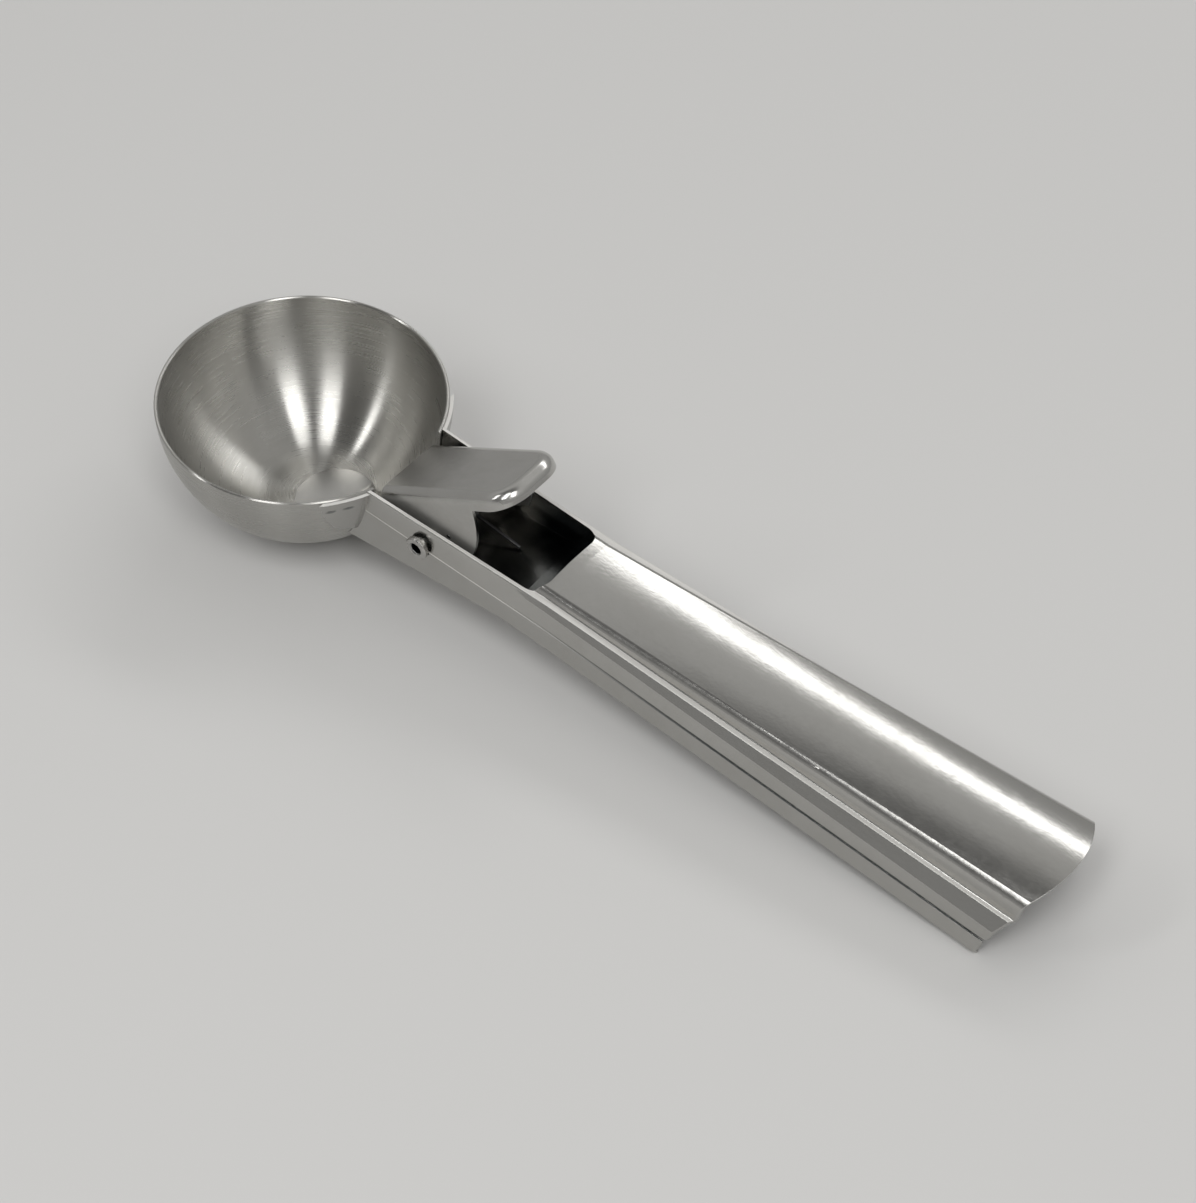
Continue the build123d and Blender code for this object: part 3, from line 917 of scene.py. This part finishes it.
@dataclass
class Bowl:
    """The round bowl.

    Attributes:
        radius: outer radius of its sphere.
        flat_radius: radius of the flat that it lies on.
        finish: its steel.
    """

    radius: float = 27.0 * MM
    flat_radius: float = 10.4 * MM
    finish: SteelFinish = BOWL_STEEL

    @property
    def centre(self) -> Vector:
        """Middle of the bowl's sphere."""
        low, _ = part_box("bowl")
        return Vector((low.x + self.radius, 0.0, math.sqrt(self.radius**2 - self.flat_radius**2)))

    def dress(self, maker: SteelMaker) -> None:
        """Dress the bowl.

        Args:
            maker: makes the materials.
        """
        dress("bowl", self.finish, maker.make(self.finish))


@dataclass
class Handle:
    """The hollow pressed handle with its trough, window and wings.

    Attributes:
        finish: its steel.
    """

    finish: SteelFinish = HANDLE_STEEL

    def dress(self, maker: SteelMaker) -> None:
        """Dress the handle.

        Args:
            maker: makes the materials.
        """
        dress("handle", self.finish, maker.make(self.finish))


@dataclass
class LeverAssembly:
    """The thumb lever with the ejector welded under its pad.

    Attributes:
        finish: the steel of both.
    """

    finish: SteelFinish = LEVER_STEEL

    def dress(self, maker: SteelMaker) -> None:
        """Dress the lever and the ejector.

        Args:
            maker: makes the materials.
        """
        steel = maker.make(self.finish)
        dress("thumb_lever", self.finish, steel)
        dress("ejector", self.finish, steel)


@dataclass
class Pivot:
    """The hollow rivet and the return spring on it.

    Attributes:
        rivet_finish: the rivet's steel.
        spring_finish: the wire's steel.
        coil_half: half the length of the spring's coil, which lies along Y round the rivet; not used.
    """

    rivet_finish: SteelFinish = RIVET_STEEL
    spring_finish: SteelFinish = SPRING_STEEL
    coil_half: float = 2.78 * MM

    def dress(self, maker: SteelMaker) -> None:
        """Dress the rivet and the spring.

        Args:
            maker: makes the materials.
        """
        dress("pivot_rivet", self.rivet_finish, maker.make(self.rivet_finish))
        self._wind(maker.make(self.spring_finish))

    def _wind(self, steel: bpy.types.Material) -> None:
        """Put a copy of the spring's wire in its place, in the wire's material, and hide the imported spring.

        Args:
            steel: the wire's material.
        """
        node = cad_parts["return_spring"]
        bpy.context.view_layer.update()
        wire = put("spring_wire", node.data.copy())
        wire.matrix_world = node.matrix_world
        wire.data.materials.clear()
        wire.data.materials.append(steel)
        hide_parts("return_spring")
        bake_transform(wire)
        LOG.info("the spring's wire bends between the handle and the lever")


def look_back(azimuth: float, elevation: float) -> Vector:
    """Direction from an aim back to a camera or lamp.

    Args:
        azimuth: degrees round from minus Y towards plus X.
        elevation: degrees above the table.

    Returns:
        The unit direction.
    """
    turn, rise = math.radians(azimuth), math.radians(elevation)
    return Vector((math.sin(turn) * math.cos(rise), -math.cos(turn) * math.cos(rise), math.sin(rise)))


def looking_at(aim: Vector, back: Vector, distance: float, roll: float) -> Matrix:
    """Place and turn of a camera or lamp that looks at an aim.

    Args:
        aim: the place it looks at.
        back: unit direction from the aim back to it.
        distance: from the aim.
        roll: degrees that it is turned about its own view.

    Returns:
        The matrix.
    """
    turn = back.to_track_quat("Z", "Y").to_matrix().to_4x4()
    lean = Matrix.Rotation(math.radians(roll), 4, "Z")
    return Matrix.Translation(aim + back * distance) @ turn @ lean


@dataclass(frozen=True)
class SoftLamp:
    """A rectangular studio lamp aimed at the scoop.

    Attributes:
        name: its name.
        azimuth: degrees round from minus Y towards plus X.
        elevation: degrees above the table.
        distance: from the aim.
        width: of the lamp, level.
        height: of the lamp.
        power: in watts.
        roll: degrees that the lamp's lower end is turned towards plus azimuth.
    """

    name: str
    azimuth: float
    elevation: float
    distance: float
    width: float
    height: float
    power: float
    roll: float = 0.0

    def build(self, aim: Vector) -> None:
        """Make the lamp.

        Args:
            aim: the place it looks at.
        """
        data = bpy.data.lights.new(self.name, "AREA")
        data.shape = "RECTANGLE"
        data.size = self.width
        data.size_y = self.height
        data.energy = self.power
        back = look_back(self.azimuth, self.elevation)
        put(self.name, data).matrix_world = looking_at(aim, back, self.distance, self.roll)


@dataclass
class Studio:
    """The table, the light and the camera round the scoop.

    Attributes:
        table_size: side of the table.
        table_drop: how far the table lies below the scoop's flat, so that the two faces don't coincide.
        table_colour: its pale colour.
        table_roughness: its roughness.
        light_colour: colour of the room's light.
        horizon: brightness of the room at the level of the table.
        overhead: brightness of the ceiling.
        ceiling_band: height of a direction, from the level of the table to the ceiling.
        dark_side: brightness of the room's darker front, which gives the steel its dark reflections.
        dark_azimuth: middle of that front, degrees round from minus Y towards plus X.
        dark_elevation: middle of that front, degrees above the table.
        dark_band: likeness of a direction to that middle, from outside the front to inside it.
        lamps: the studio lamps.
        aim: place in the middle of the picture.
        azimuth: camera's degrees round from minus Y towards plus X.
        elevation: camera's degrees above the table.
        roll: degrees that the picture's up leans to the right.
        distance: camera's distance from the aim.
        near_share: nearest place that the camera shows, as a share of its distance.
        far_share: farthest place that the camera shows, as a multiple of the table's side.
        lens: focal length for a sensor of the usual width.
    """

    table_size: float = 12.0
    table_drop: float = 0.02 * MM
    table_colour: Colour = (0.62, 0.615, 0.604, 1.0)
    table_roughness: float = 0.75
    light_colour: Colour = (1.0, 0.995, 0.98, 1.0)
    horizon: float = 0.40
    overhead: float = 0.56
    ceiling_band: Pair = (0.2, 0.8)
    dark_side: float = 0.14
    dark_azimuth: float = 348.0
    dark_elevation: float = 60.0
    dark_band: Pair = (0.64, 0.91)
    lamps: tuple[SoftLamp, ...] = (
        SoftLamp(
            "ceiling_left", azimuth=6.0, elevation=56.0, distance=1.2, width=0.30, height=0.75, power=3.6, roll=14.0
        ),
        SoftLamp(
            "ceiling_right", azimuth=56.0, elevation=56.0, distance=1.2, width=0.30, height=0.75, power=3.6, roll=5.0
        ),
        SoftLamp("back_strip", azimuth=184.0, elevation=40.0, distance=1.0, width=0.95, height=0.2, power=1.8),
        SoftLamp(
            "side_strip", azimuth=314.0, elevation=42.0, distance=1.0, width=0.09, height=0.42, power=0.85, roll=40.0
        ),
    )
    aim: Triple = (-2.86 * MM, 2.63 * MM, 10.0 * MM)
    azimuth: float = 39.45
    elevation: float = 47.02
    roll: float = 1.9
    distance: float = 459.6 * MM
    near_share: float = 0.01
    far_share: float = 2.0
    lens: float = 77.8

    def build(self) -> None:
        """Make the table, the light and the camera."""
        self._table()
        self._room()
        for lamp in self.lamps:
            lamp.build(Vector(self.aim))
        self._camera()
        bpy.context.scene.view_settings.view_transform = "Standard"
        LOG.info("studio has %d lamps", len(self.lamps))

    def _table(self) -> None:
        """Make the plain pale table."""
        half = self.table_size / 2
        low = -self.table_drop
        corners = [(-half, -half, low), (half, -half, low), (half, half, low), (-half, half, low)]
        mesh = bpy.data.meshes.new("table")
        mesh.from_pydata(corners, [], [(0, 1, 2, 3)])
        table = put("table", mesh)
        material = bpy.data.materials.new("table_top")
        material.use_nodes = True
        surface = material.node_tree.nodes["Principled BSDF"]
        surface.inputs["Base Color"].default_value = self.table_colour
        surface.inputs["Roughness"].default_value = self.table_roughness
        mesh.materials.append(material)

    def _room(self) -> None:
        """Light from all round: grey at the level of the table, paler overhead, darker on one side of the front."""
        world = bpy.data.worlds.new("room")
        bpy.context.scene.world = world
        world.use_nodes = True
        world.node_tree.nodes.clear()
        wiring = Wiring(world.node_tree)
        direction = wiring.add("ShaderNodeTexCoord").outputs["Generated"]
        up_share = wiring.remap(wiring.parts(direction)["Z"], self.ceiling_band)
        lifted = wiring.maths("MULTIPLY_ADD", up_share, self.overhead - self.horizon, self.horizon)
        front = look_back(self.dark_azimuth, self.dark_elevation)
        likeness = wiring.vector("DOT_PRODUCT", direction, front)["Value"]
        dark_share = wiring.remap(likeness, self.dark_band)
        dimmed = wiring.maths("MULTIPLY", dark_share, wiring.maths("SUBTRACT", self.dark_side, lifted))
        glow = {"Strength": wiring.maths("ADD", lifted, dimmed), "Color": self.light_colour}
        light = wiring.fill(wiring.add("ShaderNodeBackground"), glow)
        wiring.fill(wiring.add("ShaderNodeOutputWorld"), {"Surface": light.outputs["Background"]})

    def _camera(self) -> None:
        """Make the camera at the picture's viewing angle."""
        data = bpy.data.cameras.new("camera")
        data.lens = self.lens
        data.clip_start = self.distance * self.near_share
        data.clip_end = self.table_size * self.far_share
        camera = put("camera", data)
        back = look_back(self.azimuth, self.elevation)
        camera.matrix_world = looking_at(Vector(self.aim), back, self.distance, -self.roll)
        bpy.context.scene.camera = camera


def main() -> None:
    """Dress the scoop, then build the studio round it."""
    logging.basicConfig(level=logging.INFO, format="%(name)s: %(message)s")
    bowl = Bowl()
    maker = SteelMaker(SharedEffects(), bowl.centre)
    for part in (bowl, Handle(), LeverAssembly(), Pivot()):
        part.dress(maker)
    Studio().build()


if __name__ == "__main__":
    main()
